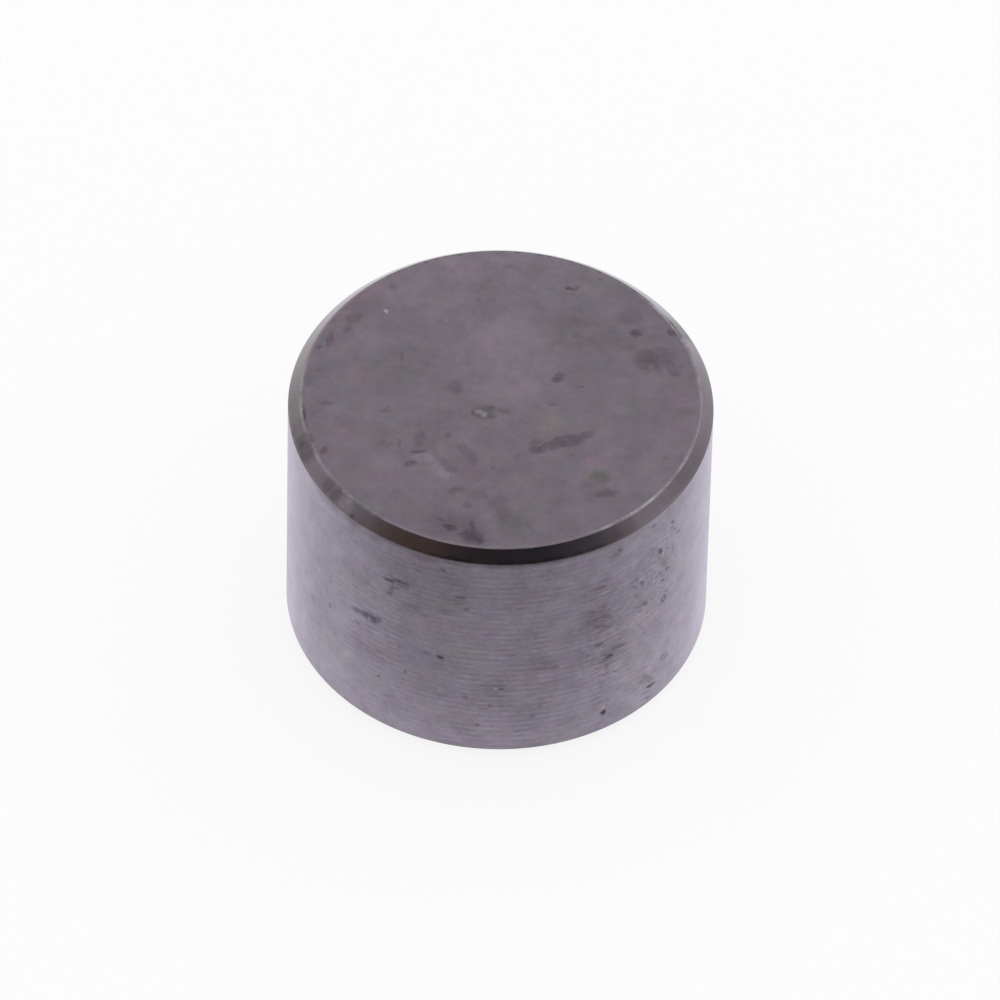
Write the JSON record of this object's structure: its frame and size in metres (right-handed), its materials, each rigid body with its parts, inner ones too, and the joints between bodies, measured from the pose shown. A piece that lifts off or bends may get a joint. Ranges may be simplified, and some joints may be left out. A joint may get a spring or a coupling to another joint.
{
  "type": "valve shim",
  "caption": "Short solid steel cylinder with flat lapped faces and narrow chamfered rims, which sets the clearance between a cam follower and a valve stem.",
  "frame": {"origin": "centre of the lower lapped face, which is the face the shim rests on", "axes": "+Z along the shim's axis, from the lower face to the upper face; X and Y are free, because the shim is round"},
  "size_m": [0.01, 0.01, 0.0071],
  "materials": {
    "hardened_steel": "dull grey hardened steel: fine turning rings round the rim, satin lapped faces with stains"
  },
  "bodies": {
    "root": {"valve_shim": "hardened_steel"}
  },
  "joints": []
}
